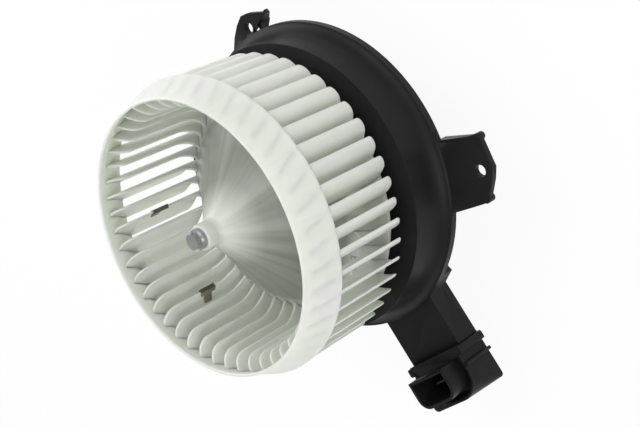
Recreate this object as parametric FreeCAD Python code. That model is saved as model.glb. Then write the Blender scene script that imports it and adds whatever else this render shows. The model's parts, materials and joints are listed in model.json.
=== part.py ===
import FreeCAD, Part

"""Car cabin blower motor: a moulded squirrel-cage wheel on a brushed motor in a flanged plastic housing.

+Z is the motor axis and points out of the wheel's inlet. Z = 0 is the plane of the mounting ears' front faces.
+X runs along the connector arm. All lengths are millimetres and all angles are degrees.
"""

import math
import os

V = FreeCAD.Vector
AXIS = V(0, 0, 1)
CENTRE = V(0, 0, 0)

# Blower wheel
wheel_radius = 75.0
blade_count = 47
blade_phase = 148.9
blade_thickness = 1.2
blade_depth = 13.5
blade_root_lean = 14.0
blade_tip_lean = 58.0
blade_corner_radius = 4.5
blade_rear_z = 27.8
blade_flare_radius = 8.3
blade_flare_z = 78.0
blade_foot_radius = 6.0
ring_proud = 0.45
ring_wall = 1.6
ring_rear_z = 72.5
ring_shoulder_z = 75.0
ring_inset = 6.2
ring_hollow = 0.6
lip_z = 91.0
hub_inset = 9.2
hub_front_z = 28.2
hub_edge = 2.2
hub_wall = 1.8
hub_hollow = 2.2
hub_apex_z = 77.0
boss_radius = 6.3
boss_top_z = 86.6
boss_foot_z = 66.0
boss_blend_radius = 7.0
clip_blades = (13, 19)
clip_z = (59.5, 56.0)
clip_length = 10.0
clip_leg = 5.0
clip_fold = 2.0
clip_reach = 6.5
clip_gauge = 0.5

blade_edge_flats = 3
ring_flats = 4
hub_flats = 4

# Shaft
shaft_radius = 4.0
shaft_tip_z = 92.8
shaft_dome = 2.4
shaft_end_z = -33.0
retaining_ring_radius = 5.1
retaining_ring_thickness = 1.8

# Housing moulding
platform_z = 19.8
drum_taper = 0.7
platform_opening_gap = 2.5
moulding_wall = 2.4
drum_foot_radius = 76.9
drum_foot_z = 10.0
rim_flare = 5.7
rim_front_z = 1.3
rim_rear_z = -2.65
rim_land = 1.0
rim_band = 2.6
cup_gap = 1.5
cup_wall = 2.5
cup_rear_z = -43.0
rim_flats = 4
small_round_flats = 3
rib_count = 12
rib_phase = 15.0
rib_thickness = 1.8
ring_rib_radius = 56.0
cover_boss_angles = (75.0, 195.0, 315.0)
cover_boss_reach = 6.2
cover_boss_radius = 4.4
cover_boss_end_z = -33.0
boss_web = 6.0

# Mounting ears
ear_thickness = 3.2
ear_hole_radius = 3.0
ear_wall = 2.2
ear_wall_depth = 10.0
ear_wall_tip_depth = 4.0
ear_corner_radius = 2.0
ear_corner_depth = 4.6
right_ear_angle = 65.5
right_ear_reach = 18.8
left_ear_angle = 171.9
left_ear_reach = 3.6
lower_ear_angle = 288.0
lower_ear_reach = 9.4
lower_ear_half_width = 13.0

# Connector arm
arm_middle_y = -1.2
arm_half_width = 18.8
arm_front_z = -4.0
arm_rear_z = -19.5
arm_end_x = 108.0
arm_front_wall = 2.3
arm_side_wall = 2.2
arm_cover_thickness = 2.0
arm_gusset = 12.0
spigot_length = 4.0
spigot_inset = 0.4
spigot_wall = 1.4

# Connector
block_half_width = 18.2
block_far_x = 134.8
block_front_z = 0.0
block_rear_z = -20.5
block_front_corner = 13.0
block_rear_corner = 2.5
block_wall = 2.0
socket_near_x = 113.6
socket_far_x = 129.9
socket_half_width = 13.4
socket_corner = 6.5
socket_wall = 1.6
socket_mouth_z = 11.0
moat_width = 2.6
moat_depth = 3.0
grip_ridges = ((108.4, 113.0), (117.6, 119.4))
grip_ridge_height = 2.5
terminal_width = 6.3
terminal_gauge = 0.8
terminal_pitch = 14.0
terminal_x = 121.5
terminal_tip_z = -3.2
terminal_start_gap = 3.5
terminal_joggle_x = 60.0
terminal_clearance = 0.2

# Rear cover
cover_rear_z = -46.0
cover_wall = 2.2
cover_gap = 0.1
cover_edge_radius = 3.0
cover_lug_thickness = 2.5
cover_tube_wall = 2.2
cover_screw_radius = 2.0
cover_screw_head_radius = 3.5
cover_screw_head = 2.2
cover_screw_grip = 12.0

# Motor can and end bell
can_share = 0.41333
can_wall = 2.0
can_front_z = 52.0
can_open_z = -8.0
can_corner = 5.0
nose_radius = 10.3
nose_length = 8.0
bearing_radius = 8.3
bearing_length = 7.5
bearing_clearance = 0.05
bearing_flat = 1.3
nose_opening_radius = 5.5
nose_wall = 1.5
flange_width = 6.0
flange_thickness = 2.0
bell_wall = 1.5
bell_depth = 15.0
bell_nose_length = 8.0
motor_screw_inset = 3.0
motor_screw_radius = 1.5
motor_screw_head_radius = 2.6
motor_screw_head = 2.0
motor_screw_phase = 45.0
can_vent_count = 4
can_vent_radius = 3.5
can_vent_inset = 11.5
isolator_height = 6.0
isolator_lip = 2.2
isolator_flange = 3.0

# Magnets and armature
magnet_thickness = 4.0
magnet_arc = 132.0
magnet_length = 42.0
magnet_rear_z = -2.0
air_gap = 0.6
slot_count = 12
slot_opening = 2.6
slot_floor_share = 0.492
slot_roof_share = 0.91
tooth_width = 3.6
core_rear_z = 3.0
core_front_z = 36.0
slot_insulator = 1.0
coil_head_share = 0.881
coil_head_inner_share = 0.328
coil_head_height = 7.5
commutator_radius = 12.0
commutator_core_radius = 9.5
commutator_slot = 0.7
commutator_front_z = -6.5
commutator_rear_z = -22.0
commutator_hook = 1.4
washer_radius = 6.5
washer_thickness = 1.0
thrust_gap = 0.3
felt_inner_radius = 4.6

# Brush gear
card_thickness = 2.5
card_opening_radius = 14.5
brush_width = 8.0
brush_height = 6.0
spring_room = 5.25
brush_gap = 0.15
brush_side_clearance = 0.1
holder_gauge = 0.6
holder_near = 13.6
holder_end_gap = 0.5
spring_radius = 2.2
spring_wire = 0.5
spring_turns = 4
choke_radius = 3.2
choke_length = 14.0
choke_core_radius = 1.9
choke_core_stub = 1.5
choke_inset = 12.0
choke_y = 9.5
capacitor_size = (5.0, 13.0, 8.0)
capacitor_inset = 11.0

# Places worked out from the dimensions above
blade_inner_radius = wheel_radius - blade_depth
ring_radius = wheel_radius + ring_proud
hub_radius = wheel_radius - hub_inset
platform_radius = drum_foot_radius - drum_taper
rim_radius = drum_foot_radius + rim_flare
can_radius = wheel_radius * can_share
flange_radius = can_radius + flange_width
cup_inner_radius = flange_radius + cup_gap
platform_opening_radius = can_radius + platform_opening_gap
motor_screw_distance = flange_radius - motor_screw_inset
can_vent_distance = can_radius - can_vent_inset
armature_radius = can_radius - can_wall - magnet_thickness - air_gap
slot_floor_radius = armature_radius * slot_floor_share
slot_roof_radius = armature_radius * slot_roof_share
coil_head_radius = armature_radius * coil_head_share
coil_head_inner = armature_radius * coil_head_inner_share
choke_x = can_radius - choke_inset
capacitor_x = capacitor_inset - can_radius
terminal_start_x = choke_x + terminal_start_gap
card_front_z = can_open_z
card_rear_z = card_front_z - card_thickness
bell_flange_rear_z = card_rear_z - bell_wall
bell_floor_z = card_rear_z - bell_depth
cup_outer_radius = cup_inner_radius + cup_wall
cover_boss_distance = cup_outer_radius + cover_boss_reach
platform_rear_z = platform_z - moulding_wall
strip_front_z = card_rear_z
strip_rear_z = card_rear_z - terminal_gauge
arm_inner_half = arm_half_width - arm_side_wall
arm_inner_front_z = arm_front_z - arm_front_wall
arm_cover_front_z = arm_rear_z + arm_cover_thickness
cover_floor_z = cover_rear_z + moulding_wall
isolator_rear_z = bell_flange_rear_z - isolator_height
brush_z = card_rear_z - holder_gauge - brush_side_clearance - brush_height / 2
brush_face = commutator_radius + brush_gap
holder_end = can_radius - bell_wall - holder_end_gap
brush_back = holder_end - holder_gauge - spring_room
spigot_low_z = arm_cover_front_z + spigot_inset
spigot_high_z = arm_inner_front_z - spigot_inset
strip_low_z = spigot_low_z + spigot_wall + terminal_clearance
socket_floor_z = strip_low_z + terminal_gauge + terminal_clearance + block_wall
hub_slope = (hub_apex_z - hub_front_z) / (hub_radius - boss_radius)
hub_angle = math.atan(hub_slope)
hub_drop = hub_wall / math.cos(hub_angle)


def polar(radius, angle):
    """A point at this radius and angle round the motor axis, as x and y."""
    return radius * math.cos(math.radians(angle)), radius * math.sin(math.radians(angle))


def closed_wire(place, start, steps, flats=0):
    """A closed wire through 2-D points. A step is a point, or (middle, end) for an arc.

    With flats, each arc is drawn as that many short chords, which keeps a small round light.
    """
    edges = []
    here = start
    for step in list(steps) + [start]:
        if isinstance(step[0], tuple):
            middle, end = step
            arc = Part.Arc(place(here), place(middle), place(end)).toShape()
            if flats:
                points = arc.discretize(Number=flats + 1)
                edges += [Part.LineSegment(a, b).toShape() for a, b in zip(points, points[1:])]
            else:
                edges.append(arc)
        else:
            end = step
            if math.dist(here, end) < 1e-7:
                continue
            edges.append(Part.LineSegment(place(here), place(end)).toShape())
        here = end
    return Part.Wire(edges)


def turned(start, *steps, flats=0):
    """A solid turned round the motor axis from an outline of (radius, z) points."""
    face = Part.Face(closed_wire(lambda p: V(p[0], 0, p[1]), start, steps, flats))
    return face.revolve(CENTRE, AXIS, 360)


def slab(low_z, high_z, start, *steps):
    """A plate between two heights with an outline of (x, y) points."""
    face = Part.Face(closed_wire(lambda p: V(p[0], p[1], low_z), start, steps))
    return face.extrude(V(0, 0, high_z - low_z))


def block(x0, x1, y0, y1, z0, z1):
    return Part.makeBox(x1 - x0, y1 - y0, z1 - z0, V(x0, y0, z0))


def rod(radius, z0, z1, x=0.0, y=0.0):
    return Part.makeCylinder(radius, z1 - z0, V(x, y, z0))


def tube(outer, inner, z0, z1):
    return rod(outer, z0, z1).cut(rod(inner, z0, z1))


def spun(shape, angle):
    copy = shape.copy()
    copy.rotate(CENTRE, AXIS, angle)
    return copy


def joined(shapes):
    """One solid from shapes that run into each other, with leftover seams removed."""
    result = shapes[0].multiFuse(shapes[1:]).removeSplitter()
    return result.Solids[0] if len(result.Solids) == 1 else result


def save(name, shape):
    solids = shape.Solids
    if len(solids) == 1:
        shape = solids[0]
    else:
        shape = Part.makeCompound(solids)
    shape.exportStep(f"parts/{name}.step")


def hub_cone_z(radius):
    """Height of the hub's slightly hollow cone at this radius."""
    inward = (hub_radius - radius) / (hub_radius - boss_radius)
    hollow = 4 * inward * (1 - inward) * hub_hollow / math.cos(hub_angle)
    return hub_apex_z - (radius - boss_radius) * hub_slope - hollow


def blade_curve():
    """Centre and radius of the arc that a blade's mid-line follows, for the blade whose inner edge is on +X."""
    root, tip = math.radians(blade_root_lean), math.radians(blade_tip_lean)
    spread = wheel_radius**2 - blade_inner_radius**2
    reach = 2 * (wheel_radius * math.sin(tip) - blade_inner_radius * math.sin(root))
    radius = spread / reach
    return (blade_inner_radius - radius * math.sin(root), radius * math.cos(root)), radius


def blade_point(distance, offset):
    """Where the blade's face, offset from its mid-line, crosses a circle round the motor axis."""
    centre, radius = blade_curve()
    radius += offset
    span = math.hypot(*centre)
    turn = math.acos((distance**2 + span**2 - radius**2) / (2 * distance * span))
    angle = math.atan2(centre[1], centre[0]) - turn
    return distance * math.cos(angle), distance * math.sin(angle)


def blade_tip_angle():
    """How far round the tip of a blade stands from its inner edge."""
    x, y = blade_point(wheel_radius, 0.0)
    return math.degrees(math.atan2(y, x))


def blade_angle(number):
    """Angle of the inner edge of one blade."""
    return blade_phase - blade_tip_angle() + number * 360.0 / blade_count


def blade_strip(inner, outer, low_z, high_z, half):
    """A curved strip of one blade's section between two radii."""
    middle = (inner + outer) / 2
    return slab(
        low_z,
        high_z,
        blade_point(inner, -half),
        (blade_point(middle, -half), blade_point(outer, -half)),
        blade_point(outer, half),
        (blade_point(middle, half), blade_point(inner, half)),
    )


def ring_line(z, inset):
    """Radius of the ring's outside at this height, moved inwards by the inset."""
    if z <= ring_shoulder_z:
        return ring_radius - inset
    along = (z - ring_shoulder_z) / (lip_z - ring_shoulder_z)
    return ring_radius - inset - along * ring_inset - 4 * along * (1 - along) * ring_hollow


def ring_arc(inset, from_z, to_z):
    """An arc step on the ring's hollow flare, from one height to another."""
    middle_z = (from_z + to_z) / 2
    return (ring_line(middle_z, inset), middle_z), (ring_line(to_z, inset), to_z)


def blade_envelope():
    """The turned outline that trims every blade: flared front, footed root and rounded rear corner."""
    mid_wall = ring_wall / 2
    flare_top = blade_flare_z + blade_flare_radius
    flare_run = ring_line(flare_top, mid_wall) - blade_inner_radius
    corner = wheel_radius - blade_corner_radius
    diagonal = math.sqrt(0.5)
    foot_centre_r = blade_inner_radius - blade_foot_radius
    foot_bottom_z = hub_cone_z(foot_centre_r) - hub_drop / 2
    foot_centre_z = foot_bottom_z + blade_foot_radius
    return turned(
        (foot_centre_r, foot_bottom_z),
        (hub_radius - hub_wall, hub_front_z - hub_edge / 2),
        (corner, blade_rear_z),
        (
            (corner + blade_corner_radius * diagonal, blade_rear_z + blade_corner_radius * (1 - diagonal)),
            (wheel_radius, blade_rear_z + blade_corner_radius),
        ),
        (wheel_radius, ring_rear_z + mid_wall),
        (ring_radius - mid_wall, ring_rear_z + ring_wall),
        (ring_radius - mid_wall, ring_shoulder_z),
        ring_arc(mid_wall, ring_shoulder_z, flare_top),
        (
            (blade_inner_radius + flare_run * (1 - diagonal), blade_flare_z + blade_flare_radius * diagonal),
            (blade_inner_radius, blade_flare_z),
        ),
        (blade_inner_radius, foot_centre_z),
        (
            (foot_centre_r + blade_foot_radius * diagonal, foot_centre_z - blade_foot_radius * diagonal),
            (foot_centre_r, foot_bottom_z),
        ),
        flats=blade_edge_flats,
    )


def wheel_ring():
    """The rolled inlet ring at the wheel's open end."""
    return turned(
        (ring_radius, ring_rear_z),
        (ring_radius, ring_shoulder_z),
        ring_arc(0.0, ring_shoulder_z, lip_z),
        (ring_line(lip_z, ring_wall), lip_z),
        ring_arc(ring_wall, lip_z, ring_shoulder_z),
        (ring_radius - ring_wall, ring_rear_z),
        flats=ring_flats,
    )


def wheel_hub():
    """The hollow cone that carries the blades, with its boss on the shaft."""
    end_angle = hub_angle + 4 * hub_hollow * math.cos(hub_angle) / (hub_radius - boss_radius)
    blend = boss_blend_radius * math.tan((math.pi / 2 - end_angle) / 2)
    half_turn = math.pi + (math.pi / 2 - end_angle) / 2
    blend_r, blend_z = boss_radius + boss_blend_radius, hub_apex_z + blend
    cone_end_r = boss_radius + blend * math.cos(end_angle)
    cone_end_z = hub_apex_z - blend * math.sin(end_angle)
    middle_r = (hub_radius + cone_end_r) / 2
    inner_foot = hub_radius - (hub_drop - hub_edge) / hub_slope
    inner_middle = (inner_foot + boss_radius) / 2
    return turned(
        (shaft_radius, boss_foot_z),
        (boss_radius, boss_foot_z),
        (boss_radius, hub_apex_z - hub_drop),
        ((inner_middle, hub_cone_z(inner_middle) - hub_drop), (inner_foot, hub_front_z - hub_edge)),
        (hub_radius, hub_front_z - hub_edge),
        (hub_radius, hub_front_z),
        ((middle_r, hub_cone_z(middle_r)), (cone_end_r, cone_end_z)),
        (
            (blend_r + boss_blend_radius * math.cos(half_turn), blend_z + boss_blend_radius * math.sin(half_turn)),
            (boss_radius, blend_z),
        ),
        (boss_radius, boss_top_z),
        (shaft_radius, boss_top_z),
        flats=hub_flats,
    )


def blower_wheel():
    foot = blade_inner_radius - blade_foot_radius
    strip = blade_strip(foot - 1, wheel_radius + 1, hub_front_z - hub_edge, lip_z, blade_thickness / 2)
    blade = strip.common(blade_envelope())
    blades = [spun(blade, blade_angle(n)) for n in range(blade_count)]
    return joined([wheel_ring(), wheel_hub()] + blades)


def balance_clip(number, middle_z):
    """A spring-steel clip on the inner edge of one blade: a long folded bar with a narrower pair of legs."""
    inner, half = blade_inner_radius, blade_thickness / 2
    wide, narrow = clip_length / 2, clip_leg / 2
    bar = blade_strip(
        inner - clip_gauge, inner + clip_fold, middle_z - wide, middle_z + wide, half + clip_gauge
    )
    legs = blade_strip(
        inner - clip_gauge, inner + clip_reach, middle_z - narrow, middle_z + narrow, half + clip_gauge
    )
    blade = blade_strip(inner, inner + clip_reach + 1, middle_z - wide, middle_z + wide, half)
    return spun(joined([bar, legs]).cut(blade), blade_angle(number))


def motor_shaft():
    shoulder = shaft_tip_z - shaft_dome
    sphere = (shaft_radius**2 + shaft_dome**2) / (2 * shaft_dome)
    middle = shaft_radius / 2
    middle_z = shaft_tip_z - sphere + math.sqrt(sphere**2 - middle**2)
    return turned(
        (0.0, shaft_end_z),
        (shaft_radius, shaft_end_z),
        (shaft_radius, shoulder),
        ((middle, middle_z), (0.0, shaft_tip_z)),
    )


def ear_place(reach, angle, out=0.0, along=0.0):
    """A point by an ear's hole: so far outwards from its centre, and so far along the rim."""
    x, y = polar(rim_radius + reach + out, angle)
    side_x, side_y = polar(along, angle + 90.0)
    return x + side_x, y + side_y


def ear(reach, angle, outline, wedges, corners=()):
    """A mounting ear: a flat plate with wedge-shaped walls behind some of its edges and round corners."""
    outline = [ear_place(reach, angle, *point) for point in outline]
    pieces = [slab(-ear_thickness, 0.0, outline[0], *outline[1:])]
    for deep, tip in wedges:
        (x0, y0), (x1, y1) = ear_place(reach, angle, *deep), ear_place(reach, angle, *tip)
        wall = Part.Face(
            closed_wire(
                lambda p: V(p[0], 0, p[1]),
                (0.0, -ear_wall_depth),
                [
                    (math.dist((x0, y0), (x1, y1)), -ear_wall_tip_depth),
                    (math.dist((x0, y0), (x1, y1)), -ear_thickness / 2),
                    (0.0, -ear_thickness / 2),
                ],
            )
        ).extrude(V(0, ear_wall, 0))
        wall.rotate(CENTRE, AXIS, math.degrees(math.atan2(y1 - y0, x1 - x0)))
        wall.translate(V(x0, y0, 0))
        pieces.append(wall)
    for corner in corners:
        pieces.append(rod(ear_corner_radius, -ear_corner_depth, 0.0, *ear_place(reach, angle, *corner)))
    return pieces


def mounting_ears():
    """Three ears on the rim. Their outlines run from root to root, as places by the hole."""
    right = ear(
        right_ear_reach,
        right_ear_angle,
        [
            (-22.3, 14.7),
            (-11.1, 14.2),
            (1.3, 17.5),
            (3.6, 15.5),
            (7.2, 1.1),
            (5.5, -4.6),
            (1.5, -13.2),
            (-2.0, -16.0),
            (-10.2, -17.9),
            (-22.3, -20.6),
        ],
        [((-23.1, 12.7), (1.4, 14.4)), ((-22.3, -20.6), (-3.2, -15.2))],
        [(1.8, 15.6), (-0.3, -13.9)],
    )
    left = ear(
        left_ear_reach,
        left_ear_angle,
        [
            (-9.0, 19.6),
            (-6.6, 19.1),
            (0.2, 13.0),
            (4.6, 7.4),
            (7.6, 1.6),
            (7.0, -3.5),
            (2.0, -16.4),
            (-2.6, -1.9),
            (-9.0, 1.5),
        ],
        [((-1.2, -5.4), (1.6, -15.4)), ((0.4, -5.4), (-6.5, -5.4))],
    )
    half, tip = lower_ear_half_width, 2 * ear_hole_radius
    root = -lower_ear_reach - rim_band - 4.0
    lower = ear(
        lower_ear_reach,
        lower_ear_angle,
        [
            (root, -half - 3.0),
            (tip - 7.0, -half),
            (tip, -half / 3),
            (tip, half / 3),
            (tip - 7.0, half),
            (root, half + 3.0),
        ],
        [((root, -half - 3.0), (tip - 7.0, -half))],
    )
    return right + left + lower


def ear_holes():
    return [
        ear_place(right_ear_reach, right_ear_angle),
        ear_place(left_ear_reach, left_ear_angle),
        ear_place(lower_ear_reach, lower_ear_angle),
    ]


def housing_shell():
    """Drum, flared rim, platform and motor cup: everything of the moulding that is round."""
    arc_mid = (drum_foot_radius + 1.3, drum_foot_z - 5.6)
    rim_inner = rim_radius - rim_band
    return turned(
        (platform_opening_radius, platform_z),
        (platform_radius, platform_z),
        (drum_foot_radius, drum_foot_z),
        (arc_mid, (rim_radius - rim_land, rim_front_z)),
        (rim_radius, rim_front_z),
        (rim_radius, rim_rear_z),
        (rim_inner, rim_rear_z),
        (
            (drum_foot_radius - moulding_wall + 1.6, drum_foot_z - 7.4),
            (drum_foot_radius - moulding_wall, drum_foot_z),
        ),
        (platform_radius - moulding_wall, platform_rear_z),
        (cup_outer_radius, platform_rear_z),
        (cup_outer_radius, cup_rear_z),
        (cup_inner_radius, cup_rear_z),
        (cup_inner_radius, platform_rear_z),
        (platform_opening_radius, platform_rear_z),
        flats=rim_flats,
    )


def housing_ribs():
    """Radial and circular stiffening ribs behind the platform."""
    reach = drum_foot_radius - moulding_wall / 2
    top = platform_rear_z + moulding_wall / 2
    inside = cup_outer_radius - cup_wall / 2
    rib = block(inside, reach, -rib_thickness / 2, rib_thickness / 2, rim_rear_z, top)
    ribs = [spun(rib, rib_phase + n * 360.0 / rib_count) for n in range(rib_count)]
    return ribs + [tube(ring_rib_radius + rib_thickness, ring_rib_radius, rim_rear_z, top)]


def cover_bosses():
    """Screw bosses down the outside of the motor cup."""
    bosses = []
    for angle in cover_boss_angles:
        x, y = polar(cover_boss_distance, angle)
        post = rod(cover_boss_radius, cover_boss_end_z, platform_rear_z, x, y)
        web = block(
            cup_inner_radius + cup_wall / 2,
            cover_boss_distance,
            -boss_web / 2,
            boss_web / 2,
            cover_boss_end_z,
            platform_rear_z,
        )
        bosses += [post, spun(web, angle)]
    return bosses


def on_arm(shapes):
    """Shapes drawn about y = 0, moved to the arm's middle line."""
    for shape in shapes:
        shape.translate(V(0, arm_middle_y, 0))
    return shapes


def arm_channel():
    """The arm that carries the connector: a channel open at the rear, ending in a spigot."""
    near = cup_inner_radius + cup_wall / 2
    outside = block(near, arm_end_x, -arm_half_width, arm_half_width, arm_rear_z, arm_front_z)
    hollow = block(near, arm_end_x, -arm_inner_half, arm_inner_half, arm_rear_z, arm_inner_front_z)
    saddle = block(
        near, drum_foot_radius, -arm_half_width, arm_half_width, arm_inner_front_z, rim_rear_z + rib_thickness
    )
    low, high = spigot_low_z, spigot_high_z
    half = arm_inner_half - spigot_inset
    start = arm_end_x - spigot_wall
    end = arm_end_x + spigot_length
    spigot = block(start, end, -half, half, low, high)
    bore = block(
        start, end, -half + spigot_wall, half - spigot_wall, low + spigot_wall, high - spigot_wall
    )
    frame = block(start, arm_end_x, -arm_inner_half, arm_inner_half, low, arm_inner_front_z)
    gusset = slab(
        arm_rear_z + 4.0,
        arm_front_z,
        (drum_foot_radius - 9.0, arm_half_width - 1.0),
        (rim_radius - 2.0, arm_half_width - 1.0),
        (drum_foot_radius - 2.0, arm_half_width + arm_gusset),
        (drum_foot_radius - 9.0, arm_half_width + arm_gusset - 2.0),
    )
    post = block(
        drum_foot_radius - 9.0,
        drum_foot_radius - 2.0,
        arm_half_width - 1.0,
        arm_half_width + 2.0,
        arm_front_z - 1.0,
        platform_rear_z,
    )
    return on_arm([outside.cut(hollow), saddle, frame.cut(bore), spigot.cut(bore), gusset, post])


def flange_housing():
    solid = joined(
        [housing_shell()] + housing_ribs() + cover_bosses() + mounting_ears() + arm_channel()
    )
    clear = rod(cup_inner_radius, cup_rear_z, platform_rear_z)
    window = block(
        cup_inner_radius - 2, cup_outer_radius + 1, -12.0, 12.0, arm_cover_front_z, arm_inner_front_z
    )
    low, high = spigot_low_z, spigot_high_z
    half = arm_inner_half - spigot_inset - spigot_wall
    passage = block(
        arm_end_x - 2 * spigot_wall,
        arm_end_x + spigot_length,
        -half,
        half,
        low + spigot_wall,
        high - spigot_wall,
    )
    cuts = [clear] + on_arm([window, passage])
    cuts += [rod(ear_hole_radius, -ear_wall_depth - 1, 1.0, *hole) for hole in ear_holes()]
    for angle in cover_boss_angles:
        cuts.append(
            rod(
                cover_screw_radius,
                cover_boss_end_z,
                cover_boss_end_z + cover_screw_grip,
                *polar(cover_boss_distance, angle),
            )
        )
    return solid.cut(Part.makeCompound(cuts))


def arm_cover():
    plate = block(
        cup_inner_radius,
        arm_end_x - spigot_wall,
        -arm_inner_half,
        arm_inner_half,
        arm_rear_z,
        arm_cover_front_z,
    )
    return on_arm([plate])[0].cut(rod(cup_outer_radius, arm_rear_z, arm_cover_front_z))


def rear_cover():
    skirt_inner = cup_outer_radius + cover_gap
    skirt_outer = skirt_inner + cover_wall
    edge = cover_edge_radius
    diagonal = 1 - math.sqrt(0.5)
    tube_outer = cup_inner_radius - cover_gap
    shell = turned(
        (0.0, cover_rear_z),
        (skirt_outer - edge, cover_rear_z),
        (
            (skirt_outer - edge * diagonal, cover_rear_z + edge * diagonal),
            (skirt_outer, cover_rear_z + edge),
        ),
        (skirt_outer, cover_boss_end_z),
        (skirt_inner, cover_boss_end_z),
        (skirt_inner, cover_floor_z),
        (tube_outer, cover_floor_z),
        (tube_outer, isolator_rear_z),
        (tube_outer - cover_tube_wall, isolator_rear_z),
        (tube_outer - cover_tube_wall, cover_floor_z),
        (0.0, cover_floor_z),
        flats=small_round_flats,
    )
    lugs, holes = [], []
    low = cover_boss_end_z - cover_lug_thickness
    for angle in cover_boss_angles:
        x, y = polar(cover_boss_distance, angle)
        lugs.append(rod(cover_boss_radius, low, cover_boss_end_z, x, y))
        web = block(
            skirt_inner + cover_wall / 2, cover_boss_distance, -boss_web / 2, boss_web / 2, low, cover_boss_end_z
        )
        lugs.append(spun(web, angle))
        holes.append(rod(cover_screw_radius, low, cover_boss_end_z, x, y))
    return joined([shell] + lugs).cut(Part.makeCompound(holes))


def rear_cover_screws():
    screws = []
    low = cover_boss_end_z - cover_lug_thickness
    for angle in cover_boss_angles:
        x, y = polar(cover_boss_distance, angle)
        head = rod(cover_screw_head_radius, low - cover_screw_head, low, x, y)
        shank = rod(cover_screw_radius, low - cover_screw_head / 2, cover_boss_end_z + cover_screw_grip, x, y)
        screws.append(joined([head, shank]))
    return Part.makeCompound(screws)


def corner_bite(z, radius, over):
    """The outline of what a rounded far corner of this radius takes off the connector block."""
    half, far = block_half_width, block_far_x
    bite = radius * (1 - math.sqrt(0.5))
    return closed_wire(
        lambda p: V(p[0], p[1], z),
        (far + over, half + over),
        [
            (far - radius, half + over),
            (far - radius, half),
            ((far - bite, half - bite), (far, half - radius)),
            (far + over, half - radius),
        ],
    )


def socket_outline(low_z, high_z, inset):
    """The plug socket's outline: square at the arm side and rounded at the far side."""
    half = socket_half_width - inset
    near, far = socket_near_x + inset, socket_far_x - inset
    r = socket_corner - inset
    bite = r * (1 - math.sqrt(0.5))
    return slab(
        low_z,
        high_z,
        (near, -half),
        (far - r, -half),
        ((far - bite, -half + bite), (far, -half + r)),
        (far, half - r),
        ((far - bite, half - bite), (far - r, half)),
        (near, half),
    )


def terminal_places():
    return (-terminal_pitch / 2, terminal_pitch / 2)


def connector_housing():
    body = block(arm_end_x, block_far_x, -block_half_width, block_half_width, block_rear_z, block_front_z)
    corner = Part.makeLoft(
        [
            corner_bite(block_rear_z, block_rear_corner, 1.0),
            corner_bite(block_front_z, block_front_corner, 1.0),
        ],
        True,
        True,
    )
    body = body.cut(corner).removeSplitter()
    square = [
        e
        for e in body.Edges
        if e.BoundBox.XMin > block_far_x - 0.1 and e.BoundBox.YMax < 0.1 - block_half_width
    ]
    body = body.makeFillet(block_rear_corner, square)
    pieces = [body, socket_outline(block_front_z - moat_depth, socket_mouth_z, 0.0)]
    for near, far in grip_ridges:
        half = block_half_width + grip_ridge_height
        r = min(grip_ridge_height, far - near) * 0.45
        bite = r * (1 - math.sqrt(0.5))
        for side in (-1, 1):
            pieces.append(
                slab(
                    block_rear_z,
                    block_front_z,
                    (near, side * (block_half_width - 1)),
                    (near, side * (half - r)),
                    ((near + bite, side * (half - bite)), (near + r, side * half)),
                    (far - r, side * half),
                    ((far - bite, side * (half - bite)), (far, side * (half - r))),
                    (far, side * (block_half_width - 1)),
                )
            )
    solid = joined(pieces)
    low, high = spigot_low_z, spigot_high_z
    half = arm_inner_half - spigot_inset
    space_end = block_far_x - block_wall
    moat_floor = block_front_z - moat_depth
    moat = socket_outline(moat_floor, block_front_z, -moat_width).cut(
        socket_outline(moat_floor, block_front_z, 0.0)
    )
    moat = moat.cut(
        block(arm_end_x, socket_near_x, -block_half_width, block_half_width, moat_floor, block_front_z)
    )
    cuts = [
        block(arm_end_x, arm_end_x + spigot_length + spigot_inset, -half, half, low, high),
        block(arm_end_x, space_end, -half, half, low, socket_floor_z - block_wall),
        socket_outline(socket_floor_z, socket_mouth_z, socket_wall),
        moat,
        block(
            arm_end_x + block_wall, space_end, -half, half, block_rear_z, low - block_wall
        ),
    ]
    for y in terminal_places():
        cuts.append(
            block(
                terminal_x - terminal_gauge / 2,
                terminal_x + terminal_gauge / 2,
                y - terminal_width / 2,
                y + terminal_width / 2,
                socket_floor_z - block_wall,
                socket_floor_z,
            )
        )
    return on_arm([solid.cut(Part.makeCompound(cuts))])[0]


def terminal_strip(y):
    """A stamped strip from the brush card down into the arm, turned up as a flat blade in the socket."""
    y0, y1 = y - terminal_width / 2, y + terminal_width / 2
    step = terminal_joggle_x + terminal_gauge
    x1 = terminal_x + terminal_gauge / 2
    strip = joined(
        [
            block(terminal_start_x, step, y0, y1, strip_rear_z, strip_front_z),
            block(terminal_joggle_x, step, y0, y1, strip_low_z, strip_front_z),
            block(terminal_joggle_x, x1, y0, y1, strip_low_z, strip_low_z + terminal_gauge),
            block(x1 - terminal_gauge, x1, y0, y1, strip_low_z, terminal_tip_z),
        ]
    )
    return on_arm([strip])[0]


def screw_places():
    step = 90.0
    return [polar(motor_screw_distance, motor_screw_phase + n * step) for n in range(4)]


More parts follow.
